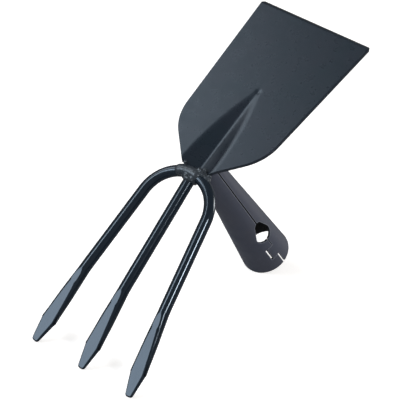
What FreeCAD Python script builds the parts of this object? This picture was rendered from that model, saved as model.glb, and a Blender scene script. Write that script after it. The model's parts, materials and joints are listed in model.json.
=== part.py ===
import FreeCAD, Part
import math
import os

# Double hoe head: a pressed hoe blade and a three-tine fork, welded to a rolled, tapered handle socket.
# Every piece is drawn in the handle frame: the socket's axis is Z, its mouth points down, the blade
# reaches along +X and the tines along -X. Then the whole head is turned about Y onto the floor, where
# it stands on its three tine tips and the tine side of the socket's rim. Lengths are in millimetres.

V = FreeCAD.Vector

# Blade
blade_reach = 112.7
blade_tail = 6.4
blade_thickness = 2.0
blade_droop_degrees = 7.0
edge_width = 82.6
shoulder_reach = 29.1
shoulder_width = 70.2
root_width = 21.0
root_flare_degrees = 45.0
edge_corner_radius = 2.0
bevel_width = 2.0
bevel_land = 0.8

# Pressed gusset of the blade
gusset_reach = 53.0
gusset_depth = 5.6
gusset_width = 19.6
gusset_valley_radius = 1.2
gusset_crest_roll = 2.6
gusset_fade = 12.0
skin_margin = 4.0
skin_step_along = 2.5
skin_step_across = 1.0

# Socket
mouth_bore = 28.0
socket_wall = 1.5
socket_length = 119.2
neck_diameter = 14.0
rim_round = 0.5
seam_gap = 0.4

# Drop-shaped hole over the seam
hole_top = 72.0
hole_bottom = 91.2
hole_top_radius = 2.8
hole_bottom_radius = 5.9

# Interlocking tab that keeps the seam shut below the hole
tab_top = 98.4
tab_bottom = 109.0
tab_reach = 5.0
slit_gap = 0.9

# Tines
rod_diameter = 7.0
fork_droop_degrees = 9.0
fork_drop = 0.46
seat_gap = 0.35
bow_radius = 24.2
tine_reach = 140.2
fork_inset = 3.7412
flat_start = 85.0
flat_nod_degrees = 3.7
flat_nod_radius = 60.0
shoulder_from_tip = 15.4
shoulder_half = 5.0
shoulder_thickness = 3.5
tip_half = 2.3
tip_round = 1.5
flat_entry = 0.05

# Welds
collar_flare = 2.0
collar_length = 5.0
collar_edge = 0.3
crest_bead_radius = 3.4
crest_bead_lift = 1.6
crest_bead_back = 1.7
crest_bead_half_degrees = 21.0
under_bead_radius = 2.2
under_bead_out = 2.6
under_bead_down = 2.6
under_bead_half_degrees = 18.0
bead_end_round = 1.2
socket_bead_depth = 8.6
socket_bead_flare = 2.6
socket_bead_edge = 0.3

# One overrun serves all cuts
overrun = 10.0

# Passes of the search for the pose that the head stands in
settle_steps = 6

rod_radius = rod_diameter / 2
neck_radius = neck_diameter / 2
mouth_radius = mouth_bore / 2 + socket_wall
socket_taper = (mouth_radius - neck_radius) / socket_length
crest_reach = blade_tail + rod_radius + seat_gap
flat_length = tine_reach - flat_start
beyond_bow = tine_reach - crest_reach - bow_radius
tip_offset = edge_width / 2 - fork_inset
splay = math.acos(bow_radius / math.hypot(tip_offset, beyond_bow)) - math.atan2(beyond_bow, tip_offset)
tine_splay_degrees = math.degrees(splay)
nod = math.radians(flat_nod_degrees)


def plate(points, travel):
    """Closed straight-sided outline, swept both ways along travel."""
    wire = Part.makePolygon([p - travel for p in points + points[:1]])
    return Part.Face(wire).extrude(travel * 2)


def spread(low, high, count):
    """Evenly spaced values from low to high."""
    return [low + (high - low) * i / (count - 1) for i in range(count)]


def to_blade_place(shape):
    """From the blade's own plane, X towards the cutting edge, to the handle frame."""
    shape.rotate(V(0, 0, 0), V(0, 1, 0), blade_droop_degrees)
    return shape


def to_fork_place(shape):
    """From the fork's own plane, X towards the tips, to the handle frame."""
    shape.rotate(V(0, 0, 0), V(0, 0, 1), 180)
    shape.rotate(V(0, 0, 0), V(0, 1, 0), -fork_droop_degrees)
    shape.translate(V(0, 0, -fork_drop))
    return shape


def rounded_ramp(height, roll):
    """Zero below -roll, height above +roll, and a parabola that joins the two."""
    if height <= -roll:
        return 0
    if height >= roll:
        return height
    return (height + roll) ** 2 / (4 * roll)


def gusset_height(u, w):
    """Height of the blade's upper skin: a valley that deepens and widens from its tip to the root."""
    share = (gusset_reach - u) / (gusset_reach + blade_tail)
    depth = gusset_depth * share
    opened = min(max(share, 0), 1)
    wall_slope = 2 * gusset_depth / (gusset_width * (2 - opened))
    if share > 1:
        wall_slope = 2 * gusset_depth / gusset_width
    off_valley = math.hypot(w, gusset_valley_radius) - gusset_valley_radius
    return -rounded_ramp(depth - wall_slope * off_valley, wall_slope * gusset_crest_roll)


def gusset_skin():
    """Upper skin of the pressed part of the blade, flat along its far and side borders."""
    far = gusset_reach + gusset_fade
    near = -blade_tail - overrun
    side = gusset_width / 2 + gusset_crest_roll + skin_margin
    along = spread(near, far, round((far - near) / skin_step_along) + 1)
    across = spread(-side, side, 2 * round(side / skin_step_across) + 1)
    grid = [[V(u, w, gusset_height(u, w)) for w in across] for u in along]
    surface = Part.BSplineSurface()
    surface.interpolate(grid)
    return surface.toShape(), far, side


def blade_outline():
    """Flat outline of the blade: tapering sides, round shoulders and slanting root flanks."""
    edge_half = edge_width / 2
    shoulder_half_width = shoulder_width / 2
    root_half = root_width / 2
    side = V(blade_reach - shoulder_reach, edge_half - shoulder_half_width, 0)
    side.normalize()
    flank = V(math.cos(math.radians(root_flare_degrees)), math.sin(math.radians(root_flare_degrees)), 0)
    root = V(-blade_tail, root_half, 0)
    shoulder = V(shoulder_reach, shoulder_half_width, 0)
    between = shoulder - root
    spread_area = flank.x * side.y - flank.y * side.x
    flank_length = (between.x * side.y - between.y * side.x) / spread_area
    corner = root + flank * flank_length
    tangent = (shoulder - corner).Length
    arc_start = corner - flank * tangent
    turn = math.acos(flank.dot(side))
    inward = (side - flank).normalize()
    arc_radius = tangent / math.tan(turn / 2)
    arc_middle = corner + inward * (arc_radius / math.cos(turn / 2) - arc_radius)
    edge = V(blade_reach, edge_half, 0)

    def mirrored(p):
        return V(p.x, -p.y, p.z)

    upper = [
        Part.LineSegment(root, arc_start).toShape(),
        Part.Arc(arc_start, arc_middle, shoulder).toShape(),
        Part.LineSegment(shoulder, edge).toShape(),
    ]
    lower = [
        Part.LineSegment(mirrored(edge), mirrored(shoulder)).toShape(),
        Part.Arc(mirrored(shoulder), mirrored(arc_middle), mirrored(arc_start)).toShape(),
        Part.LineSegment(mirrored(arc_start), mirrored(root)).toShape(),
    ]
    cutting = Part.LineSegment(edge, mirrored(edge)).toShape()
    tail = Part.LineSegment(mirrored(root), root).toShape()
    return Part.Wire(upper + [cutting] + lower + [tail])


def blade_blank():
    """The blade's outline as a tall block, with its two cutting corners rounded."""
    height = gusset_depth + blade_thickness + overrun
    face = Part.Face(blade_outline())
    face.translate(V(0, 0, -height))
    block = face.extrude(V(0, 0, height + overrun))
    corners = []
    for edge in block.Edges:
        box = edge.BoundBox
        if box.XMin > blade_reach - edge_corner_radius and box.ZLength > height:
            corners.append(edge)
    return block.makeFillet(edge_corner_radius, corners)


def hoe_blade():
    """Sheet blade with a pressed gusset towards the socket and a bevel along the cutting edge."""
    skin, far, side = gusset_skin()
    blank = blade_blank()
    pressed = skin.extrude(V(0, 0, -blade_thickness)).common(blank)
    low = V(-blade_tail - overrun, -edge_width, -blade_thickness)
    sheet = Part.makeBox(blade_reach + blade_tail + 2 * overrun, 2 * edge_width, blade_thickness, low)
    window_low = V(-blade_tail - 2 * overrun, -side, -blade_thickness - overrun)
    window = Part.makeBox(far + blade_tail + 2 * overrun, 2 * side, blade_thickness + 2 * overrun, window_low)
    flat = sheet.common(blank).cut(window)
    blade = flat.fuse(pressed)
    drop = blade_thickness - bevel_land
    bevel_start = blade_reach - bevel_width
    run_out = (bevel_width + overrun) / bevel_width
    outline = [
        V(bevel_start, 0, 0),
        V(blade_reach + overrun, 0, -drop * run_out),
        V(blade_reach + overrun, 0, overrun),
        V(bevel_start, 0, overrun),
    ]
    wedge = plate(outline, V(0, edge_width, 0))
    return to_blade_place(blade.cut(wedge))


def above_underside():
    """Everything above the underside of the pressed gusset, in the handle frame."""
    skin = gusset_skin()[0]
    skin.translate(V(0, 0, -blade_thickness))
    return to_blade_place(skin.extrude(V(0, 0, gusset_depth + 3 * overrun)))


def socket_radius(z):
    return neck_radius - socket_taper * z


def cone_between(low, high, inset):
    """Solid cone along the socket's axis, inset from the socket's outer wall."""
    return Part.makeCone(
        socket_radius(low) - inset, socket_radius(high) - inset, high - low, V(0, 0, low), V(0, 0, 1)
    )


def wall_cut(x_low, x_high, z_low, z_high):
    """A straight cut through the seam side of the socket's wall."""
    depth = mouth_radius + overrun
    return Part.makeBox(x_high - x_low, depth, z_high - z_low, V(x_low, -depth, z_low))


def drop_hole():
    """Drop-shaped hole: a small circle above a large one, joined by their tangents."""
    small = V(0, 0, -hole_top - hole_top_radius)
    large = V(0, 0, -hole_bottom + hole_bottom_radius)
    lean = math.asin((hole_bottom_radius - hole_top_radius) / (small.z - large.z))

    def on(centre, radius, angle):
        return centre + V(radius * math.cos(angle), 0, radius * math.sin(angle))

    right = [on(large, hole_bottom_radius, lean), on(small, hole_top_radius, lean)]
    left = [on(small, hole_top_radius, math.pi - lean), on(large, hole_bottom_radius, math.pi - lean)]
    wire = Part.Wire(
        [
            Part.LineSegment(right[0], right[1]).toShape(),
            Part.Arc(right[1], on(small, hole_top_radius, math.pi / 2), left[0]).toShape(),
            Part.LineSegment(left[0], left[1]).toShape(),
            Part.Arc(left[1], on(large, hole_bottom_radius, -math.pi / 2), right[0]).toShape(),
        ]
    )
    return Part.Face(wire).extrude(V(0, -mouth_radius - overrun, 0))


def seam_cuts():
    """The open seam, its drop-shaped hole and the interlocking tab between the hole and the rim."""
    half = seam_gap / 2
    slit = slit_gap / 2
    hole_middle = -(hole_top + hole_bottom) / 2
    return [
        wall_cut(-half, half, hole_middle, overrun),
        drop_hole(),
        wall_cut(-half, half, -tab_top - half, hole_middle),
        wall_cut(-tab_reach - slit, half, -tab_top - half, -tab_top + half),
        wall_cut(-tab_reach - slit, -tab_reach + slit, -tab_bottom - half, -tab_top + half),
        wall_cut(-tab_reach - slit, slit, -tab_bottom - half, -tab_bottom + half),
        wall_cut(-slit, slit, -socket_length - overrun, -tab_bottom + half),
    ]


def handle_socket():
    """Rolled tapered tube: coped under the blade, seam on its side, bore open at the mouth."""
    outer = cone_between(-socket_length, overrun, 0)
    rim = [e for e in outer.Edges if e.BoundBox.ZMax < -socket_length + rim_round]
    outer = outer.makeFillet(rim_round, rim)
    tube = outer.cut(cone_between(-socket_length - overrun, 2 * overrun, socket_wall))
    tube = tube.cut(above_underside())
    for cut in seam_cuts():
        tube = tube.cut(cut)
    return tube


def arc_centre():
    return V(crest_reach + bow_radius, 0, 0)


def bow_end():
    """Where the bow's arc runs into the straight, splayed rod."""
    turn = math.pi / 2 - splay
    return V(crest_reach + bow_radius * (1 - math.cos(turn)), bow_radius * math.sin(turn), 0)


def bow():
    """The bent middle of the outer tines: one arc of rod."""
    turn_degrees = 90 - tine_splay_degrees
    section = Part.Face(Part.Wire(Part.makeCircle(rod_radius, V(crest_reach, 0, 0), V(0, 1, 0))))
    section.rotate(arc_centre(), V(0, 0, 1), -turn_degrees)
    return section.revolve(arc_centre(), V(0, 0, 1), 2 * turn_degrees)


def flattened_end(length):
    """Forged end of a tine along +X from its nod: a widening cone pressed to a spear between two flats."""
    to_shoulder = length - shoulder_from_tip
    growth = (shoulder_half - rod_radius) / to_shoulder
    body = Part.makeCone(rod_radius, rod_radius + growth * length, length, V(0, 0, 0), V(1, 0, 0))
    start_half = rod_radius + flat_entry
    thinning = (start_half - shoulder_thickness / 2) / to_shoulder
    end_half = start_half - thinning * length
    flats = [V(0, 0, start_half), V(length, 0, end_half), V(length, 0, -end_half), V(0, 0, -start_half)]
    slab = plate(flats, V(0, shoulder_half + overrun, 0))
    wide = rod_diameter
    narrowing = (shoulder_half - tip_half) / shoulder_from_tip
    wide_place = to_shoulder - (wide - shoulder_half) / narrowing
    outline = [
        V(-overrun, wide, 0),
        V(wide_place, wide, 0),
        V(length, tip_half, 0),
        V(length, -tip_half, 0),
        V(wide_place, -wide, 0),
        V(-overrun, -wide, 0),
    ]
    plan = plate(outline, V(0, 0, overrun))
    tip_corners = [e for e in plan.Edges if e.BoundBox.XMin > length - tip_half and e.BoundBox.ZLength > overrun]
    return body.common(slab).common(plan.makeFillet(tip_round, tip_corners))


def tine(length):
    """Tine along +X: round rod that nods down into its flattened end."""
    bend_run = flat_nod_radius * math.sin(nod)
    bend_fall = flat_nod_radius * (1 - math.cos(nod))
    straight = length - flat_length
    end = flattened_end((flat_length - bend_run) / math.cos(nod))
    end.rotate(V(0, 0, 0), V(0, 1, 0), flat_nod_degrees)
    end.translate(V(straight + bend_run, 0, -bend_fall))
    rod = Part.makeCylinder(rod_radius, straight, V(0, 0, 0), V(1, 0, 0))
    section = Part.Face(Part.Wire(Part.makeCircle(rod_radius, V(straight, 0, 0), V(1, 0, 0))))
    bend = section.revolve(V(straight, 0, -flat_nod_radius), V(0, 1, 0), flat_nod_degrees)
    return rod.fuse([bend, end])


def outer_tines():
    """Both outer tines and the bow between them, bent from one rod."""
    corner = bow_end()
    whole = bow()
    for side in (1, -1):
        one = tine((tine_reach - corner.x) / math.cos(splay))
        one.rotate(V(0, 0, 0), V(0, 0, 1), side * tine_splay_degrees)
        one.translate(V(corner.x, side * corner.y, 0))
        whole = whole.fuse(one)
    return to_fork_place(whole.removeSplitter())


def centre_tine():
    """Straight middle tine, cut square and butted against the inside of the bow."""
    start = crest_reach + rod_radius
    one = tine(tine_reach - start)
    one.translate(V(start, 0, 0))
    return to_fork_place(one.removeSplitter())


def seated(bead, neighbours):
    """Weld metal less what its neighbours fill: the largest solid that they leave."""
    for neighbour in neighbours:
        bead = bead.cut(neighbour)
    return sorted(bead.Solids, key=lambda solid: solid.Volume)[-1]


def bow_bead(radius, half_degrees, place):
    """Bead of weld that follows the bow through a place beside its crest."""
    section = Part.Face(Part.Wire(Part.makeCircle(radius, place, V(0, 1, 0))))
    section.rotate(arc_centre(), V(0, 0, 1), -half_degrees)
    bead = section.revolve(arc_centre(), V(0, 0, 1), 2 * half_degrees)
    rims = [edge for edge in bead.Edges if edge.Length < 2 * math.pi * radius + bead_end_round]
    return to_fork_place(bead.makeFillet(bead_end_round, rims))


def crest_weld(neighbours):
    """Smooth bead over the bow's crest that runs onto the blade's root."""
    place = V(crest_reach - crest_bead_back, 0, crest_bead_lift)
    return seated(bow_bead(crest_bead_radius, crest_bead_half_degrees, place), neighbours)


def under_weld(neighbours):
    """Bead in the corner under the bow's crest, against the socket and the gusset's keel."""
    place = V(crest_reach - under_bead_out, 0, -under_bead_down)
    return seated(bow_bead(under_bead_radius, under_bead_half_degrees, place), neighbours)


def collar_weld(neighbours):
    """Fillet of weld that joins the square end of the centre tine to the bow."""
    place = V(crest_reach + rod_radius - collar_flare, 0, 0)
    wide = rod_radius + collar_flare
    ring = Part.makeCone(wide, rod_radius + collar_edge, collar_length, place, V(1, 0, 0))
    return seated(to_fork_place(ring), neighbours)


def socket_weld(neighbours):
    """Fillet of weld round the socket's coped end, wider towards the blade."""
    low = -socket_bead_depth
    wide = socket_radius(0) + socket_bead_flare
    bead = Part.makeCone(socket_radius(low) + socket_bead_edge, wide, socket_bead_depth, V(0, 0, low), V(0, 0, 1))
    return seated(bead, neighbours + [above_underside()])


def lowest(shape):
    return shape.optimalBoundingBox().ZMin


def settle(shapes):
    """Turns the head about Y until the tine tips and the socket's rim are on one level."""
    reach = tine_reach - mouth_radius
    turn_degrees = -math.degrees(math.atan2(socket_length, tine_reach))
    for step in range(settle_steps):
        for shape in shapes.values():
            shape.rotate(V(0, 0, 0), V(0, 1, 0), turn_degrees)
        tips = min(lowest(shapes["centre_tine"]), lowest(shapes["outer_tines"]))
        turn_degrees = -math.degrees(math.atan2(tips - lowest(shapes["handle_socket"]), reach))


def build():
    """All pieces in the handle frame, each weld seated on what it joins."""
    bore_plug = cone_between(-socket_length - overrun, 2 * overrun, socket_wall)
    shapes = {
        "hoe_blade": hoe_blade(),
        "handle_socket": handle_socket(),
        "outer_tines": outer_tines(),
        "centre_tine": centre_tine(),
    }
    steps = (
        ("crest_weld", crest_weld),
        ("under_weld", under_weld),
        ("collar_weld", collar_weld),
        ("socket_weld", socket_weld),
    )
    for name, make in steps:
        shapes[name] = make(list(shapes.values()) + [bore_plug])
    return shapes


def stand(shapes):
    """Puts the settled head on the floor, with the origin under the middle of its box."""
    settle(shapes)
    box = Part.makeCompound(list(shapes.values())).optimalBoundingBox()
    for shape in shapes.values():
        shape.translate(V(-box.Center.x, -box.Center.y, -box.ZMin))
    return box


def main():
    os.makedirs("parts", exist_ok=True)
    shapes = build()
    box = stand(shapes)
    for name, shape in shapes.items():
        shape.exportStep("parts/" + name + ".step")
        print(name, "solids", len(shape.Solids), "volume", round(shape.Volume), "valid", shape.isValid())
    print("box", box.XLength, box.YLength, box.ZLength)


main()
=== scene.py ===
import json
import math

import bmesh
import bpy
from mathutils import Matrix, Vector

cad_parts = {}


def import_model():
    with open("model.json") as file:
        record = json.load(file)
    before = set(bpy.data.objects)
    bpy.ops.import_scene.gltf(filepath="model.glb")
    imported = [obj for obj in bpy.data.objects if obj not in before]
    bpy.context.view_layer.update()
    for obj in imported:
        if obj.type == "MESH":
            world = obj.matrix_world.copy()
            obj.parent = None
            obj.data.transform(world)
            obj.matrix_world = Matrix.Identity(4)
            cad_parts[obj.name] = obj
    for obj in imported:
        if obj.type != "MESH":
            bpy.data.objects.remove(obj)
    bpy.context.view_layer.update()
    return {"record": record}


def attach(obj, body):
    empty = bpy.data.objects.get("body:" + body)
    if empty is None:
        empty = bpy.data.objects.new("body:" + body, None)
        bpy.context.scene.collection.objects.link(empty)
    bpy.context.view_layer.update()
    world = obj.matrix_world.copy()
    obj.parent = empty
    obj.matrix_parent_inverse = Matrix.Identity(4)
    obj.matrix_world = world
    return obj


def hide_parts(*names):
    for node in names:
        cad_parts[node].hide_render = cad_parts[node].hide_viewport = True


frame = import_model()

# The double hoe head is modelled in the handle frame, in metres: the socket's axis is Z with its mouth
# downwards, the blade reaches along +X and the tines along -X. The socket's mount in the frame says
# where that lies in the part's own frame.

# Blade
blade_reach = 0.1127
blade_tail = 0.0064
blade_thickness = 0.002
blade_droop = math.radians(7)
edge_half = 0.04129
shoulder_reach = 0.0291
shoulder_half_width = 0.0351
root_half = 0.0105
root_flare = math.radians(45)
edge_corner = 0.002
bevel_width = 0.002
bevel_land = 0.0008
gusset_reach = 0.053
gusset_depth = 0.0056
gusset_half = 0.0098
gusset_valley = 0.0012
gusset_roll = 0.0021
pinch_depth = 0.00025
pinch_radius = 0.0016

# Run of enamel along the cutting corner: drops as (reach, inset from the side, height, radius)
corner_run = (
    (0.1109, 0.00105, -0.0010, 0.0007),
    (0.1102, 0.00080, -0.0007, 0.00074),
    (0.1092, 0.00078, -0.00042, 0.00074),
    (0.1080, 0.00078, -0.00038, 0.00072),
    (0.1067, 0.00075, -0.00036, 0.00068),
    (0.1053, 0.00072, -0.00038, 0.00066),
    (0.1038, 0.00070, -0.0004, 0.00062),
    (0.1022, 0.00068, -0.00044, 0.00058),
)

# Socket
socket_length = 0.1192
mouth_radius = 0.0155
neck_radius = 0.007
socket_wall = 0.0015
seam_gap = 0.0008
tab_gap = 0.0005
slit_gap = 0.0012
rim_round = 0.00056
hole_top = 0.072
hole_bottom = 0.0912
hole_small = 0.0028
hole_large = 0.0059
tab_top = 0.0984
tab_bottom = 0.109
tab_reach = 0.005

# Tines
rod_radius = 0.0035
fork_droop = math.radians(9)
fork_drop = 0.00046
seat_gap = 0.00035
bow_radius = 0.0242
tine_reach = 0.1402
splay = math.radians(7.1)
flat_start = 0.085
nod = math.radians(3.7)
nod_radius = 0.06
shoulder_from_tip = 0.0154
shoulder_half = 0.005
shoulder_thickness = 0.0035
tip_half = 0.0023
tip_round = 0.0014
flat_entry = 0.00005
flat_settled = 0.009
flat_soften = 0.001

# Welds beside the bow: rows of drops by radius, reach past its middle line, lift and sweep in degrees
saddle_bead = 0.0035
saddle_back = 0.0003
saddle_lift = 0.0014
saddle_sweep = (-20, 8)
saddle_count = 14
saddle_unevenness = 0.03
tail_bead = 0.0022
tail_back = 0.0028
tail_lift = 0.0004
tail_sweep = (6, 24)
tail_count = 6
tail_unevenness = 0.16
under_bead = 0.0021
under_back = 0.0026
under_fall = -0.0026
under_sweep = (-16, 16)
under_count = 11
under_unevenness = 0.08
bow_ripple = 2.4

# Single drops of weld metal as (along the fork, across it, height, radius)
crotch_drops = (
    (0.0116, -0.0034, 0.0015, 0.0028),
    (0.0130, -0.0018, 0.0016, 0.0029),
    (0.0143, 0.0002, 0.0013, 0.0028),
    (0.0130, 0.0022, 0.0014, 0.0027),
)
spatter_drops = (
    (0.0064, 0.0036, 0.0024, 0.0013),
    (0.0070, 0.0054, 0.0026, 0.0014),
    (0.0052, 0.0066, 0.0014, 0.0014),
    (0.0086, 0.0080, 0.0027, 0.0013),
    (0.0092, 0.0102, 0.0016, 0.0014),
    (0.0116, 0.0043, 0.0029, 0.0011),
    (0.0074, 0.0112, 0.0010, 0.0014),
    (0.0060, -0.0082, 0.0012, 0.0013),
)

# Rings of drops, round the centre tine's butt and the socket's end
collar_bead = 0.0013
collar_count = 24
collar_ripple = 2.7
socket_bead = 0.0016
socket_count = 40
socket_ripple = 2.9
ring_unevenness = 0.08
ring_stand = 0.2
ring_set_back = 0.4

# Melting of the drops into one skin
drop_detail = 3
bead_voxel = 0.00032
melt_factor = 0.5
melt_passes = 9

# Finish of the modelled edges
rod_sides = 64
hole_sides = 64
bow_steps = 40
edge_soften = 0.0003
edge_segments = 2
rim_segments = 3
tip_segments = 4
crisp_degrees = 28
socket_crisp_degrees = 35
blade_crisp_degrees = 40
normal_weight = 90
merge_reach = 0.000005
outline_rows = 200
corner_rows = 8
blade_columns = 150
column_bunching = 1.5
under_skin_share = 0.95
inner_wall_share = 0.6
underside_steps = 5
cope_steps = 8
socket_columns = 160
socket_rows = 110

# Enamel: noise as (scale, detail, roughness), and what part of a value's range is used
cloud_noise = (45, 3, 0.5)
cloud_range = (0.35, 0.65)
gloss_noise = (160, 4, 0.6)
gloss_range = (0.3, 0.7)
peel_noise = (700, 2, 0.4)
peel_height = 0.00003
roughcast_noise = (900, 5, 0.65)
roughcast_height = 0.0004
# Range of the edge mask that carries the painted edge light and shade
edge_range = (0.98, 0.8)
edge_samples = 8
enamel_ior = 1.5

# Background and studio
floor_size = 8
floor_pale = (0.92, 0.9, 0.88, 1)
floor_dim = (0.34, 0.34, 0.35, 1)
floor_glow = 0.55
world_low = 0.36
world_high = 0.26
overhead = (0, 0, 1)
overhead_near = 0.95
overhead_far = 0.3
behind = (0.33, 0.90, 0.27)
behind_near = 0.95
behind_far = 0.75
behind_dim = 0.2

# Lamps as (name, place lit, direction of the lamp from there, size, radiance, colour)
lamp_distance = 1.2
lamps = (
    ("flank softbox", (-0.08, 0, 0.03), (-0.714, 0.543, 0.441), 0.5, 5.8, (0.83, 0.91, 1.0)),
    ("back softbox", (0, 0, 0.12), (-0.17, 0.70, 0.69), 0.6, 3.2, (0.96, 0.98, 1.0)),
    ("side softbox", (0.03, 0, 0.05), (0.82, -0.50, 0.17), 0.4, 12.0, (1.0, 0.95, 0.90)),
    ("bright strip", (-0.04, -0.02, 0.06), (-0.20, -0.83, 0.52), 0.2, 40.0, (1.0, 1.0, 1.0)),
    ("dim strip", (-0.05, 0, 0.06), (-0.60, 0.46, 0.66), 0.24, 10.0, (0.9, 0.96, 1.0)),
)

# Camera, in the handle frame
camera_place = Vector((-0.2908, -0.6620, 0.9903))
camera_right = Vector((0.5703, -0.7501, -0.3350))
camera_up = Vector((0.7911, 0.3917, 0.4699))
camera_back = Vector((-0.2212, -0.5330, 0.8167))
camera_lens = 189.74
camera_sensor = 36
camera_near = 0.05
camera_far = 20

crest_reach = blade_tail + rod_radius + seat_gap
arc_centre = Vector((crest_reach + bow_radius, 0, 0))
arc_turn = math.pi / 2 - splay


def handle_frame():
    """From the handle frame to the part's frame, read from the socket's mount."""
    mount = next(m for m in frame["record"]["mounts"] if m["name"] == "handle_socket")
    up = -Vector(mount["axis"]).normalized()
    across = Vector((0, 1, 0))
    reach = across.cross(up)
    origin = Vector(mount["pos_m"]) + up * socket_length
    turn = Matrix((reach, across, up)).transposed().to_4x4()
    return Matrix.Translation(origin) @ turn


HANDLE = handle_frame()
BLADE = HANDLE @ Matrix.Rotation(blade_droop, 4, "Y")
FORK = (
    HANDLE
    @ Matrix.Translation((0, 0, -fork_drop))
    @ Matrix.Rotation(-fork_droop, 4, "Y")
    @ Matrix.Rotation(math.pi, 4, "Z")
)


def choose(*things):
    """Selects only these objects, the last of them active."""
    bpy.ops.object.select_all(action="DESELECT")
    for thing in things:
        thing.select_set(True)
    bpy.context.view_layer.objects.active = things[-1]


def fresh(name):
    """The primitive just added, named, with its place in its mesh."""
    obj = bpy.context.active_object
    choose(obj)
    bpy.ops.object.transform_apply(location=True, rotation=True, scale=True)
    obj.name = name
    obj.data.name = name
    return obj


def settle(obj, place):
    """Puts a finished piece in the part's frame, with its object back at the origin."""
    choose(obj)
    obj.matrix_world = place
    bpy.ops.object.transform_apply(location=True, rotation=True, scale=True)
    return obj


def edit(obj):
    """Opens a piece in edit mode."""
    choose(obj)
    bpy.ops.object.mode_set(mode="EDIT")
    bpy.ops.mesh.select_mode(type="VERT")


def done():
    """Leaves edit mode."""
    bpy.ops.object.mode_set(mode="OBJECT")


def pick_verts(obj, test):
    """In edit mode, selects the points that pass the test, and what lies between them."""
    mesh = bmesh.from_edit_mesh(obj.data)
    bpy.ops.mesh.select_all(action="DESELECT")
    for vert in mesh.verts:
        vert.select = test(vert)
    mesh.select_flush(True)
    bmesh.update_edit_mesh(obj.data)


def pick_edges(obj, test):
    """In edit mode, selects the edges that pass the test."""
    bpy.ops.mesh.select_mode(type="EDGE")
    bpy.ops.mesh.select_all(action="DESELECT")
    mesh = bmesh.from_edit_mesh(obj.data)
    for edge in mesh.edges:
        edge.select = test(edge)
    mesh.select_flush_mode()
    bmesh.update_edit_mesh(obj.data)


def middle(edge):
    """Middle of an edge."""
    return (edge.verts[0].co + edge.verts[1].co) / 2


def apply(obj, kind, **settings):
    """Adds a modifier with these settings and applies it."""
    choose(obj)
    modifier = obj.modifiers.new(kind.lower(), kind)
    for name, value in settings.items():
        setattr(modifier, name, value)
    bpy.ops.object.modifier_apply(modifier=modifier.name)


def soften(obj, width, angle_degrees):
    """Rounds the crisp edges a little and smooths the rest."""
    limit = math.radians(angle_degrees)
    apply(obj, "BEVEL", width=width, segments=edge_segments, limit_method="ANGLE", angle_limit=limit)
    smooth(obj, angle_degrees)


def smooth(obj, angle_degrees):
    """Smooth shading that leaves flats flat and crisp edges crisp."""
    choose(obj)
    bpy.ops.object.shade_smooth_by_angle(angle=math.radians(angle_degrees))
    apply(obj, "WEIGHTED_NORMAL", keep_sharp=True, weight=normal_weight)


def outward(obj):
    """Merges doubled points and turns every face outwards, long thin shells by their volume."""
    edit(obj)
    bpy.ops.mesh.select_all(action="SELECT")
    bpy.ops.mesh.remove_doubles(threshold=merge_reach)
    bpy.ops.mesh.normals_make_consistent(inside=False)
    if bmesh.from_edit_mesh(obj.data).calc_volume(signed=True) < 0:
        bpy.ops.mesh.flip_normals()
    done()


def join(*things):
    """Joins these objects into the last of them."""
    choose(*things)
    bpy.ops.object.join()
    return bpy.context.active_object


def sheet(name, along, across, mapper):
    """A grid whose points are carried to mapper(share along, share across)."""
    bpy.ops.mesh.primitive_grid_add(x_subdivisions=along, y_subdivisions=across, size=1)
    obj = fresh(name)
    for vert in obj.data.vertices:
        vert.co = mapper(vert.co.x + 0.5, vert.co.y + 0.5)
    return obj


def rounded_ramp(height, roll):
    """The height where it is above nought, with the turn rounded over the roll on both sides."""
    if height <= -roll:
        return 0
    if height >= roll:
        return height
    return (height + roll) ** 2 / (4 * roll)


def gusset_height(u, w):
    """Height of the blade's upper skin: a valley that deepens and widens from its tip to the root."""
    share = (gusset_reach - u) / (gusset_reach + blade_tail)
    opened = min(max(share, 0), 1)
    slope = gusset_depth / (gusset_half * (2 - opened))
    off_valley = math.hypot(w, gusset_valley) - gusset_valley
    off_tip = math.hypot(u - gusset_reach - pinch_radius, w)
    pinch = pinch_depth * math.exp(-((off_tip / pinch_radius) ** 2))
    return -pinch - rounded_ramp(gusset_depth * share - slope * off_valley, slope * gusset_roll)


def shoulder_arc():
    """Start, centre and radius of the arc between the blade's root flank and its side."""
    side = Vector((blade_reach - shoulder_reach, edge_half - shoulder_half_width)).normalized()
    flank = Vector((math.cos(root_flare), math.sin(root_flare)))
    root = Vector((-blade_tail, root_half))
    shoulder = Vector((shoulder_reach, shoulder_half_width))
    between = shoulder - root
    area = flank.x * side.y - flank.y * side.x
    corner = root + flank * ((between.x * side.y - between.y * side.x) / area)
    tangent = (shoulder - corner).length
    turn = math.acos(flank.dot(side))
    radius = tangent / math.tan(turn / 2)
    return corner - flank * tangent, shoulder + Vector((side.y, -side.x)) * radius, radius


ARC_START, ARC_CENTRE, ARC_RADIUS = shoulder_arc()


def blade_half_width(u):
    """Half the blade's width at a distance from the socket's axis."""
    if u < ARC_START.x:
        return root_half + (u + blade_tail) * math.tan(root_flare)
    if u < shoulder_reach:
        return ARC_CENTRE.y + math.sqrt(ARC_RADIUS**2 - (u - ARC_CENTRE.x) ** 2)
    taper = (edge_half - shoulder_half_width) / (blade_reach - shoulder_reach)
    width = shoulder_half_width + (u - shoulder_reach) * taper
    into_corner = max(0, u - (blade_reach - edge_corner))
    return width - edge_corner + math.sqrt(max(0, edge_corner**2 - into_corner**2))


def blade_station(share):
    """Rows along the blade, closer together round the cutting corners."""
    rows = outline_rows + corner_rows
    row = share * rows
    straight_end = blade_reach - edge_corner
    if row <= outline_rows:
        return -blade_tail + (straight_end + blade_tail) * row / outline_rows
    return straight_end + edge_corner * math.sin((row - outline_rows) / corner_rows * math.pi / 2)


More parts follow.
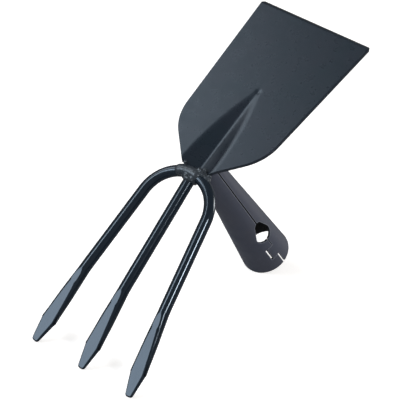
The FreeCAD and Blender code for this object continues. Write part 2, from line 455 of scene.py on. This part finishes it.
def blade_point(along, across):
    """Point of the blade's upper skin, with the columns closer together at its middle line."""
    u = blade_station(along)
    offset = 2 * across - 1
    w = math.copysign(abs(offset) ** column_bunching, offset) * blade_half_width(u)
    into_bevel = max(0, u - (blade_reach - bevel_width)) / bevel_width
    return Vector((u, w, gusset_height(u, w) - into_bevel * (blade_thickness - bevel_land)))


def hoe_blade():
    """Pressed sheet with a gusset, square edges and a bevel ground along the cutting edge."""
    obj = sheet("blade_sheet", outline_rows + corner_rows, blade_columns, blade_point)
    edit(obj)
    bpy.ops.mesh.select_all(action="SELECT")
    bpy.ops.mesh.normals_make_consistent(inside=False)
    done()
    if obj.data.polygons[0].normal.z < 0:
        obj.data.flip_normals()
    apply(obj, "SOLIDIFY", thickness=blade_thickness, offset=-1)
    for vert in obj.data.vertices:
        into_bevel = vert.co.x - (blade_reach - bevel_width)
        under = vert.co.z < gusset_height(vert.co.x, vert.co.y) - blade_thickness * under_skin_share
        if into_bevel > 0 and under:
            vert.co.z = -blade_thickness
    outward(obj)
    soften(obj, edge_soften, blade_crisp_degrees)
    drops = []
    for u, inset, lift, radius in corner_run:
        drops.append((Vector((u, inset - blade_half_width(u), lift)), radius))
    return join(bead("corner_run", drops, BLADE), settle(obj, BLADE))


def socket_radius(z):
    """Outer radius of the socket at a height in the handle frame."""
    return neck_radius - (mouth_radius - neck_radius) / socket_length * z


def underside_at(x, y):
    """Height of the gusset's underside over a place, in the handle frame."""
    n = 0
    for step in range(underside_steps):
        u = x / math.cos(blade_droop) - n * math.tan(blade_droop)
        n = gusset_height(u, y) - blade_thickness
    return n * math.cos(blade_droop) - u * math.sin(blade_droop)


def cope_at(angle):
    """Height at which the socket's outer wall meets the blade, at an angle round the axis."""
    z = 0
    for step in range(cope_steps):
        radius = socket_radius(z)
        z = underside_at(radius * math.cos(angle), radius * math.sin(angle))
    return z


def socket_point(around, up):
    """Point of the socket's outer skin, from its mouth up to the blade."""
    angle = around * 2 * math.pi - math.pi / 2
    top = cope_at(angle)
    z = -socket_length + (top + socket_length) * up
    radius = socket_radius(z)
    return Vector((radius * math.cos(angle), radius * math.sin(angle), z))


def slot_cutter(corners):
    """Bar through the wall on the seam's side, with this outline of (across, up) corners."""
    bpy.ops.mesh.primitive_circle_add(vertices=len(corners), fill_type="NGON")
    obj = fresh("cutter")
    for vert, (across, up) in zip(obj.data.vertices, corners):
        vert.co = (across, 0, up)
    edit(obj)
    bpy.ops.mesh.select_all(action="SELECT")
    through = (0, -2 * mouth_radius, 0)
    bpy.ops.mesh.extrude_region_move(TRANSFORM_OT_translate={"value": through})
    done()
    outward(obj)
    return obj


def drop_cutter():
    """Two round bars through the wall and the hull round them: the drop-shaped hole."""
    bars = []
    ends = ((hole_small, -hole_top - hole_small), (hole_large, -hole_bottom + hole_large))
    for radius, height in ends:
        bpy.ops.mesh.primitive_cylinder_add(
            vertices=hole_sides,
            radius=radius,
            depth=mouth_radius * 2,
            location=(0, -mouth_radius, height),
            rotation=(math.pi / 2, 0, 0),
        )
        bars.append(fresh("cutter"))
    both = join(*bars)
    edit(both)
    bpy.ops.mesh.select_all(action="SELECT")
    bpy.ops.mesh.convex_hull()
    done()
    return both


def seam_cutters():
    """Cutters of the seam, of the hole, and of the tab's outline with the slit at the mouth."""
    seam = seam_gap / 2
    half = tab_gap / 2
    slit = slit_gap / 2
    hole_middle = -(hole_top + hole_bottom) / 2
    over = mouth_radius
    seam_outline = (
        (seam, over),
        (seam, hole_middle),
        (-seam, hole_middle),
        (-seam, over),
    )
    tab_outline = (
        (half, hole_middle),
        (half, -tab_top - half),
        (-tab_reach + slit, -tab_top - half),
        (-tab_reach + slit, -tab_bottom + half),
        (slit, -tab_bottom + half),
        (slit, -socket_length - over),
        (-slit, -socket_length - over),
        (-slit, -tab_bottom - half),
        (-tab_reach - slit, -tab_bottom - half),
        (-tab_reach - slit, -tab_top + half),
        (-half, -tab_top + half),
        (-half, hole_middle),
    )
    return [slot_cutter(seam_outline), drop_cutter(), slot_cutter(tab_outline)]


def on_mouth_rim(edge):
    """True for the outer edge of the socket's open end."""
    return all(
        v.co.z < -socket_length + rim_round and math.hypot(v.co.x, v.co.y) > mouth_radius - rim_round
        for v in edge.verts
    )


def mark_inside(obj):
    """Marks the points of the tube's inner wall, where the enamel turns to a near-black painted shade,
    and rougher.
    """
    inside = obj.data.attributes.new("inside", "FLOAT", "POINT")
    for vert, mark in zip(obj.data.vertices, inside.data):
        depth = socket_radius(vert.co.z) - math.hypot(vert.co.x, vert.co.y)
        mark.value = 1.0 if depth > socket_wall * inner_wall_share else 0.0


def handle_socket():
    """Rolled tapered tube: coped under the blade, cut by its seam, its hole and its tab."""
    obj = sheet("rolled_socket", socket_columns, socket_rows, socket_point)
    outward(obj)
    apply(obj, "SOLIDIFY", thickness=socket_wall, offset=-1)
    edit(obj)
    pick_edges(obj, on_mouth_rim)
    bpy.ops.mesh.bevel(offset=rim_round, segments=rim_segments, affect="EDGES")
    done()
    for cutter in seam_cutters():
        apply(obj, "BOOLEAN", operation="DIFFERENCE", solver="EXACT", object=cutter)
        bpy.data.objects.remove(cutter)
    outward(obj)
    mark_inside(obj)
    smooth(obj, socket_crisp_degrees)
    return settle(obj, HANDLE)


def slice_off(place, normal):
    """In edit mode, cuts away what lies beyond a plane and closes the cut."""
    bpy.ops.mesh.select_all(action="SELECT")
    bpy.ops.mesh.bisect(
        plane_co=place,
        plane_no=normal,
        use_fill=True,
        clear_outer=True,
        threshold=merge_reach,
    )


def forged_end(length):
    """End of a tine along +X: a widening cone between two flats, drawn in to a blunt tip."""
    spare = tip_half
    to_shoulder = length - shoulder_from_tip
    growth = (shoulder_half - rod_radius) / to_shoulder
    bpy.ops.mesh.primitive_cone_add(
        vertices=rod_sides,
        radius1=rod_radius,
        radius2=rod_radius + growth * (length + spare),
        depth=length + spare,
        end_fill_type="NOTHING",
        location=((length + spare) / 2, 0, 0),
        rotation=(0, math.pi / 2, 0),
    )
    obj = fresh("forged_end")
    start_half = rod_radius + flat_entry
    thinning = (start_half - shoulder_thickness / 2) / to_shoulder
    narrowing = (shoulder_half - tip_half) / shoulder_from_tip
    edit(obj)
    slice_off((length, 0, 0), (1, 0, 0))
    for side in (1, -1):
        slice_off((0, 0, side * start_half), (thinning, 0, side))
        slice_off((length, side * tip_half, 0), (narrowing, side, 0))
    pick_edges(obj, lambda e: tip_corner(e, length))
    bpy.ops.mesh.bevel(offset=tip_round, segments=tip_segments, affect="EDGES")
    done()
    edit(obj)
    pick_edges(obj, on_flat_rim)
    bpy.ops.mesh.bevel(
        offset=flat_soften, segments=rim_segments, affect="EDGES", clamp_overlap=False
    )
    done()
    return obj


def tip_corner(edge, length):
    """True for the two upright edges at the end of a tine."""
    near = all(
        abs(v.co.x - length) < merge_reach and abs(abs(v.co.y) - tip_half) < edge_soften
        for v in edge.verts
    )
    return near and abs(edge.verts[0].co.z - edge.verts[1].co.z) > edge_soften


def on_flat_rim(edge):
    """True for the crisp edges round a tine's flats, where these are wide enough to be rounded."""
    crisp = len(edge.link_faces) == 2 and edge.calc_face_angle() > math.radians(crisp_degrees)
    return crisp and middle(edge).x > flat_settled


def bridge_near(obj, place):
    """Closes the gap between two open rims that face each other at a place."""
    edit(obj)
    pick_edges(obj, lambda e: e.is_boundary and (middle(e) - place).length < 2 * rod_radius)
    bpy.ops.mesh.bridge_edge_loops()
    done()


def add_end(rod, start, direction, length):
    """Joins a forged end to an open rod of this length from start, through the slight nod."""
    bend_run = nod_radius * math.sin(nod)
    bend_fall = nod_radius * (1 - math.cos(nod))
    straight = length - (tine_reach - flat_start)
    end = forged_end((tine_reach - flat_start - bend_run) / math.cos(nod))
    heading = math.atan2(direction.y, direction.x)
    place = (
        Matrix.Translation(start)
        @ Matrix.Rotation(heading, 4, "Z")
        @ Matrix.Translation((straight + bend_run, 0, -bend_fall))
        @ Matrix.Rotation(nod, 4, "Y")
    )
    settle(end, place)
    whole = join(end, rod)
    bridge_near(whole, start + direction * (straight + bend_run / 2))
    return whole


def outer_tines():
    """One rod: half of the bow is spun, drawn out to its tine, and mirrored."""
    bpy.ops.mesh.primitive_circle_add(
        vertices=rod_sides,
        radius=rod_radius,
        location=(crest_reach, 0, 0),
        rotation=(math.pi / 2, 0, 0),
    )
    obj = fresh("bent_rod")
    edit(obj)
    bpy.ops.mesh.select_all(action="SELECT")
    bpy.ops.mesh.spin(steps=bow_steps, angle=arc_turn, center=arc_centre, axis=(0, 0, 1))
    mesh = bmesh.from_edit_mesh(obj.data)
    if min(v.co.y for v in mesh.verts) < -rod_radius:
        for vert in mesh.verts:
            vert.co.y = -vert.co.y
        bmesh.update_edit_mesh(obj.data)
    corner = arc_centre + Vector((-math.cos(arc_turn), math.sin(arc_turn), 0)) * bow_radius
    direction = Vector((math.cos(splay), math.sin(splay), 0))
    length = (tine_reach - corner.x) / math.cos(splay)
    straight = length - (tine_reach - flat_start)
    pick_verts(obj, lambda v: (v.co - corner).dot(direction) > -merge_reach and v.co.y > rod_radius)
    bpy.ops.mesh.extrude_region_move(TRANSFORM_OT_translate={"value": direction * straight})
    done()
    obj = add_end(obj, corner, direction, length)
    apply(obj, "MIRROR", use_axis=(False, True, False), merge_threshold=merge_reach)
    outward(obj)
    smooth(obj, crisp_degrees)
    return settle(obj, FORK)


def centre_tine():
    """Straight rod, cut square at the bow, with the same forged end."""
    start = Vector((crest_reach + rod_radius, 0, 0))
    length = tine_reach - start.x
    straight = length - (tine_reach - flat_start)
    bpy.ops.mesh.primitive_cylinder_add(
        vertices=rod_sides,
        radius=rod_radius,
        depth=straight,
        end_fill_type="NOTHING",
        location=start + Vector((straight / 2, 0, 0)),
        rotation=(0, math.pi / 2, 0),
    )
    obj = add_end(fresh("straight_rod"), start, Vector((1, 0, 0)), length)
    edit(obj)
    pick_edges(obj, lambda e: e.is_boundary)
    bpy.ops.mesh.edge_face_add()
    done()
    outward(obj)
    smooth(obj, crisp_degrees)
    return settle(obj, FORK)


def bead(name, lumps, place):
    """Weld metal: overlapping drops, melted into one skin."""
    drops = []
    for centre, radius in lumps:
        bpy.ops.mesh.primitive_ico_sphere_add(subdivisions=drop_detail, radius=radius, location=centre)
        drops.append(fresh("drop"))
    obj = join(*drops)
    obj.name = name
    obj.data.name = name
    apply(obj, "REMESH", mode="VOXEL", voxel_size=bead_voxel)
    apply(obj, "SMOOTH", factor=melt_factor, iterations=melt_passes)
    choose(obj)
    bpy.ops.object.shade_smooth()
    return settle(obj, place)


def along_bow(back, lift, sweep, count, radius, unevenness):
    """Drops beside the bow, between two angles from its crest."""
    drops = []
    for k in range(count):
        angle = math.radians(sweep[0] + (sweep[1] - sweep[0]) * k / (count - 1))
        reach = bow_radius + back
        centre = arc_centre + Vector((-math.cos(angle) * reach, math.sin(angle) * reach, lift))
        drops.append((centre, radius * (1 + unevenness * math.sin(k * bow_ripple))))
    return drops


def crest_weld():
    """A smooth saddle over one half of the crest, uneven drops behind the other half, and spatter."""
    drops = along_bow(
        saddle_back, saddle_lift, saddle_sweep, saddle_count, saddle_bead, saddle_unevenness
    )
    drops += along_bow(tail_back, tail_lift, tail_sweep, tail_count, tail_bead, tail_unevenness)
    drops += [(Vector(drop[:3]), drop[3]) for drop in crotch_drops + spatter_drops]
    return bead("crest_bead", drops, FORK)


def under_weld():
    """A row of drops under the bow, between it, the gusset's keel and the socket."""
    drops = along_bow(
        under_back, under_fall, under_sweep, under_count, under_bead, under_unevenness
    )
    return bead("under_bead", drops, FORK)


def collar_weld():
    """A ring of drops round the centre tine, where it butts against the bow."""
    drops = []
    along = crest_reach + rod_radius + collar_bead * ring_set_back
    reach = rod_radius + collar_bead * ring_stand
    for k in range(collar_count):
        angle = 2 * math.pi * k / collar_count
        place = Vector((along, math.cos(angle) * reach, math.sin(angle) * reach))
        drops.append((place, collar_bead * (1 + ring_unevenness * math.sin(k * collar_ripple))))
    return bead("collar_bead", drops, FORK)


def socket_weld():
    """A ring of drops round the socket's end, under the blade."""
    drops = []
    for k in range(socket_count):
        angle = 2 * math.pi * k / socket_count
        z = cope_at(angle) - socket_bead * ring_set_back
        reach = socket_radius(z) + socket_bead * ring_stand
        place = Vector((math.cos(angle) * reach, math.sin(angle) * reach, z))
        drops.append((place, socket_bead * (1 + ring_unevenness * math.sin(k * socket_ripple))))
    return bead("socket_bead", drops, HANDLE)


def film_group():
    """Enamel film: slow changes of shade, painted light and shade along crisp edges, a painted shade on
    the tube's inner wall, uneven gloss and orange peel.
    """
    group = bpy.data.node_groups.new("enamel film", "ShaderNodeTree")
    for name, kind in (
        ("Colour", "NodeSocketColor"),
        ("Shade", "NodeSocketColor"),
        ("Gloss low", "NodeSocketFloat"),
        ("Gloss high", "NodeSocketFloat"),
        ("Peel", "NodeSocketFloat"),
        ("Roughcast", "NodeSocketFloat"),
        ("Bare colour", "NodeSocketColor"),
        ("Bare roughness", "NodeSocketFloat"),
        ("Edge round", "NodeSocketFloat"),
        ("Edge reach", "NodeSocketFloat"),
        ("Edge colour", "NodeSocketColor"),
    ):
        group.interface.new_socket(name, in_out="INPUT", socket_type=kind)
    for name, kind in (
        ("Colour", "NodeSocketColor"),
        ("Roughness", "NodeSocketFloat"),
        ("Normal", "NodeSocketVector"),
    ):
        group.interface.new_socket(name, in_out="OUTPUT", socket_type=kind)
    nodes = group.nodes
    links = group.links
    into = nodes.new("NodeGroupInput")
    out = nodes.new("NodeGroupOutput")
    place = nodes.new("ShaderNodeTexCoord")

    def noise(field):
        """A noise texture on the piece's own coordinates."""
        scale, detail, rough = field
        node = nodes.new("ShaderNodeTexNoise")
        node.inputs["Scale"].default_value = scale
        node.inputs["Detail"].default_value = detail
        node.inputs["Roughness"].default_value = rough
        links.new(place.outputs["Object"], node.inputs["Vector"])
        return node.outputs["Fac"]

    def ranged(value, low, high):
        """A Map Range node that spreads this part of a value's range over 0 to 1."""
        node = nodes.new("ShaderNodeMapRange")
        node.inputs["From Min"].default_value = low
        node.inputs["From Max"].default_value = high
        links.new(value, node.inputs["Value"])
        return node

    def blend(fac, first, second):
        """The first colour, turned to the second by a factor."""
        node = nodes.new("ShaderNodeMix")
        node.data_type = "RGBA"
        links.new(fac, node.inputs[0])
        links.new(first, node.inputs[6])
        links.new(second, node.inputs[7])
        return node.outputs[2]

    clouds = ranged(noise(cloud_noise), *cloud_range)
    shaded = blend(clouds.outputs[0], into.outputs["Colour"], into.outputs["Shade"])
    # Painted shade: on the points marked inside, the colour turns to the near-black inner shade
    inside = nodes.new("ShaderNodeAttribute")
    inside.attribute_name = "inside"
    wall_colour = blend(inside.outputs["Fac"], shaded, into.outputs["Bare colour"])
    # Painted edge light and shade: where the Bevel node's rounded normal turns from the true normal, the
    # colour turns to the edge colour
    reach = nodes.new("ShaderNodeBevel")
    reach.samples = edge_samples
    links.new(into.outputs["Edge reach"], reach.inputs["Radius"])
    surface = nodes.new("ShaderNodeNewGeometry")
    turned = nodes.new("ShaderNodeVectorMath")
    turned.operation = "DOT_PRODUCT"
    links.new(reach.outputs["Normal"], turned.inputs[0])
    links.new(surface.outputs["Normal"], turned.inputs[1])
    edge = ranged(turned.outputs["Value"], *edge_range)
    links.new(blend(edge.outputs[0], wall_colour, into.outputs["Edge colour"]), out.inputs["Colour"])
    gloss = ranged(noise(gloss_noise), *gloss_range)
    links.new(into.outputs["Gloss low"], gloss.inputs["To Min"])
    links.new(into.outputs["Gloss high"], gloss.inputs["To Max"])
    wall = nodes.new("ShaderNodeMix")
    links.new(inside.outputs["Fac"], wall.inputs[0])
    links.new(gloss.outputs[0], wall.inputs[2])
    links.new(into.outputs["Bare roughness"], wall.inputs[3])
    links.new(wall.outputs[0], out.inputs["Roughness"])
    edges = nodes.new("ShaderNodeBevel")
    edges.samples = edge_samples
    links.new(into.outputs["Edge round"], edges.inputs["Radius"])
    peel = nodes.new("ShaderNodeBump")
    links.new(edges.outputs["Normal"], peel.inputs["Normal"])
    peel.inputs["Distance"].default_value = peel_height
    links.new(noise(peel_noise), peel.inputs["Height"])
    links.new(into.outputs["Peel"], peel.inputs["Strength"])
    rough = nodes.new("ShaderNodeBump")
    rough.inputs["Distance"].default_value = roughcast_height
    links.new(noise(roughcast_noise), rough.inputs["Height"])
    links.new(into.outputs["Roughcast"], rough.inputs["Strength"])
    links.new(peel.outputs["Normal"], rough.inputs["Normal"])
    links.new(rough.outputs["Normal"], out.inputs["Normal"])
    return group


FILM = film_group()


def enamel(name, specular, tint, **values):
    """Dark enamel with its own values of the shared film."""
    material = bpy.data.materials.new(name)
    material.use_nodes = True
    nodes = material.node_tree.nodes
    links = material.node_tree.links
    paint = nodes["Principled BSDF"]
    film = nodes.new("ShaderNodeGroup")
    film.node_tree = FILM
    for socket, value in values.items():
        film.inputs[socket.replace("_", " ").capitalize()].default_value = value
    pairs = (("Colour", "Base Color"), ("Roughness", "Roughness"), ("Normal", "Normal"))
    for output, socket in pairs:
        links.new(film.outputs[output], paint.inputs[socket])
    paint.inputs["IOR"].default_value = enamel_ior
    paint.inputs["Specular IOR Level"].default_value = specular
    paint.inputs["Specular Tint"].default_value = tint
    return material


def blade_enamel():
    """Gloss enamel, anthracite with a blue cast."""
    return enamel(
        "blade enamel",
        0.5,
        (0.69, 0.85, 1.0, 1),
        colour=(0.008, 0.014, 0.021, 1),
        shade=(0.012, 0.015, 0.023, 1),
        gloss_low=0.26,
        gloss_high=0.32,
        peel=0.2,
        edge_round=0.0003,
        edge_reach=0.0006,
        # painted shade: a dark line along the blade's crisp edges
        edge_colour=(0.003, 0.004, 0.006, 1),
    )


def socket_enamel():
    """Satin enamel, dark navy, set lighter than the rest of the head's enamel as painted light, with a
    painted shade inside the tube and a painted highlight at its cut edges.
    """
    return enamel(
        "socket enamel",
        0.25,
        (0.86, 0.92, 1.0, 1),
        # painted light: colour and shade sit well above the blade's and tines' enamel, standing in for
        # the light on the socket
        colour=(0.062, 0.070, 0.097, 1),
        shade=(0.072, 0.077, 0.100, 1),
        gloss_low=0.34,
        gloss_high=0.46,
        peel=0.6,
        roughcast=0.02,
        # painted shade: the tube's inner wall turns near black, and rougher
        bare_colour=(0.014, 0.014, 0.014, 1),
        bare_roughness=0.7,
        edge_round=0.0003,
        edge_reach=0.0009,
        # painted highlight: a pale line along the socket's cut edges, round the hole, seam and slits
        edge_colour=(0.22, 0.235, 0.275, 1),
    )


def tine_enamel():
    """High gloss enamel, near-black navy."""
    return enamel(
        "tine enamel",
        0.5,
        (0.72, 0.86, 1.0, 1),
        colour=(0.004, 0.009, 0.016, 1),
        shade=(0.006, 0.011, 0.018, 1),
        gloss_low=0.09,
        gloss_high=0.17,
        peel=0.2,
        edge_round=0.0003,
        edge_reach=0.0005,
        # painted shade: a dark line along the tines' crisp edges, round the flats
        edge_colour=(0.003, 0.005, 0.009, 1),
    )


def weld_enamel():
    """The same enamel over rough weld metal, duller."""
    return enamel(
        "weld enamel",
        0.5,
        (0.85, 0.93, 1.0, 1),
        colour=(0.018, 0.025, 0.034, 1),
        shade=(0.042, 0.049, 0.058, 1),
        gloss_low=0.2,
        gloss_high=0.36,
        peel=0.2,
        roughcast=0.03,
        edge_round=0.0002,
        edge_reach=0.0001,
        # painted highlight: a little lighter than the weld's colour, at crisp edges
        edge_colour=(0.034, 0.040, 0.048, 1),
    )


def dress(obj, material, node):
    """Gives a piece its finish and its place in the model."""
    obj.data.materials.clear()
    obj.data.materials.append(material)
    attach(obj, "root")
    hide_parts(node)


def build_head():
    """Models and dresses the eight pieces."""
    blade = blade_enamel()
    socket = socket_enamel()
    rod = tine_enamel()
    weld = weld_enamel()
    dress(hoe_blade(), blade, "hoe_blade")
    dress(handle_socket(), socket, "handle_socket")
    dress(outer_tines(), rod, "outer_tines")
    dress(centre_tine(), rod, "centre_tine")
    dress(crest_weld(), weld, "crest_weld")
    dress(under_weld(), weld, "under_weld")
    dress(collar_weld(), weld, "collar_weld")
    dress(socket_weld(), weld, "socket_weld")


def floor():
    """White to the camera with the head's soft shadow; dimmer to the light that the head reflects."""
    bpy.ops.object.select_all(action="DESELECT")
    bpy.ops.mesh.primitive_plane_add(size=floor_size, location=(0, 0, 0))
    plane = fresh("floor")
    material = bpy.data.materials.new("pale floor")
    material.use_nodes = True
    nodes = material.node_tree.nodes
    links = material.node_tree.links
    paint = nodes["Principled BSDF"]
    paint.inputs["Roughness"].default_value = 1.0
    paint.inputs["Specular IOR Level"].default_value = 0.0
    path = nodes.new("ShaderNodeLightPath")
    shade = nodes.new("ShaderNodeMix")
    shade.data_type = "RGBA"
    shade.inputs[6].default_value = floor_dim
    shade.inputs[7].default_value = floor_pale
    links.new(path.outputs["Is Camera Ray"], shade.inputs[0])
    links.new(shade.outputs[2], paint.inputs["Base Color"])
    glow = nodes.new("ShaderNodeMath")
    glow.operation = "MULTIPLY"
    glow.inputs[1].default_value = floor_glow
    links.new(path.outputs["Is Camera Ray"], glow.inputs[0])
    paint.inputs["Emission Color"].default_value = (1, 1, 1, 1)
    links.new(glow.outputs[0], paint.inputs["Emission Strength"])
    plane.data.materials.append(material)


def softbox(name, target, direction, size, radiance, colour):
    """Square lamp that faces a place on the head from a direction, of a given brightness."""
    light = bpy.data.lights.new(name, "AREA")
    light.shape = "SQUARE"
    light.size = size
    light.energy = radiance * math.pi * size**2
    light.color = colour
    lamp = bpy.data.objects.new(name, light)
    bpy.context.scene.collection.objects.link(lamp)
    toward = Vector(direction).normalized()
    lamp.location = Vector(target) + toward * lamp_distance
    lamp.rotation_euler = toward.to_track_quat("Z", "Y").to_euler()


def world():
    """White to the camera; to the head, an even studio, dimmer overhead and dim behind the blade."""
    sky = bpy.data.worlds.new("studio")
    sky.use_nodes = True
    nodes = sky.node_tree.nodes
    links = sky.node_tree.links
    place = nodes.new("ShaderNodeTexCoord")

    def towards(direction, near, far, at_near, at_far):
        """A value that runs between two others as the sky nears a direction."""
        dot = nodes.new("ShaderNodeVectorMath")
        dot.operation = "DOT_PRODUCT"
        dot.inputs[1].default_value = Vector(direction).normalized()
        links.new(place.outputs["Generated"], dot.inputs[0])
        run = nodes.new("ShaderNodeMapRange")
        run.interpolation_type = "SMOOTHSTEP"
        run.inputs["From Min"].default_value = far
        run.inputs["From Max"].default_value = near
        run.inputs["To Min"].default_value = at_far
        run.inputs["To Max"].default_value = at_near
        links.new(dot.outputs["Value"], run.inputs["Value"])
        return run.outputs[0]

    both = nodes.new("ShaderNodeMath")
    both.operation = "MULTIPLY"
    height = towards(overhead, overhead_near, overhead_far, world_high, world_low)
    depth = towards(behind, behind_near, behind_far, behind_dim, 1.0)
    links.new(height, both.inputs[0])
    links.new(depth, both.inputs[1])
    path = nodes.new("ShaderNodeLightPath")
    strength = nodes.new("ShaderNodeMix")
    links.new(path.outputs["Is Camera Ray"], strength.inputs[0])
    links.new(both.outputs[0], strength.inputs[2])
    strength.inputs[3].default_value = 1.0
    background = nodes["Background"]
    background.inputs["Color"].default_value = (1, 1, 1, 1)
    links.new(strength.outputs[0], background.inputs["Strength"])
    bpy.context.scene.world = sky


def lights():
    """The lamps and the studio round them."""
    for lamp in lamps:
        softbox(*lamp)
    world()


def camera():
    """Camera at the photograph's angle, placed from the socket."""
    data = bpy.data.cameras.new("camera")
    data.lens = camera_lens
    data.sensor_width = camera_sensor
    data.clip_start = camera_near
    data.clip_end = camera_far
    obj = bpy.data.objects.new("camera", data)
    bpy.context.scene.collection.objects.link(obj)
    turn = Matrix((camera_right, camera_up, camera_back)).transposed().to_4x4()
    obj.matrix_world = HANDLE @ Matrix.Translation(camera_place) @ turn
    bpy.context.scene.camera = obj


build_head()
floor()
lights()
camera()
bpy.context.scene.view_settings.view_transform = "Standard"
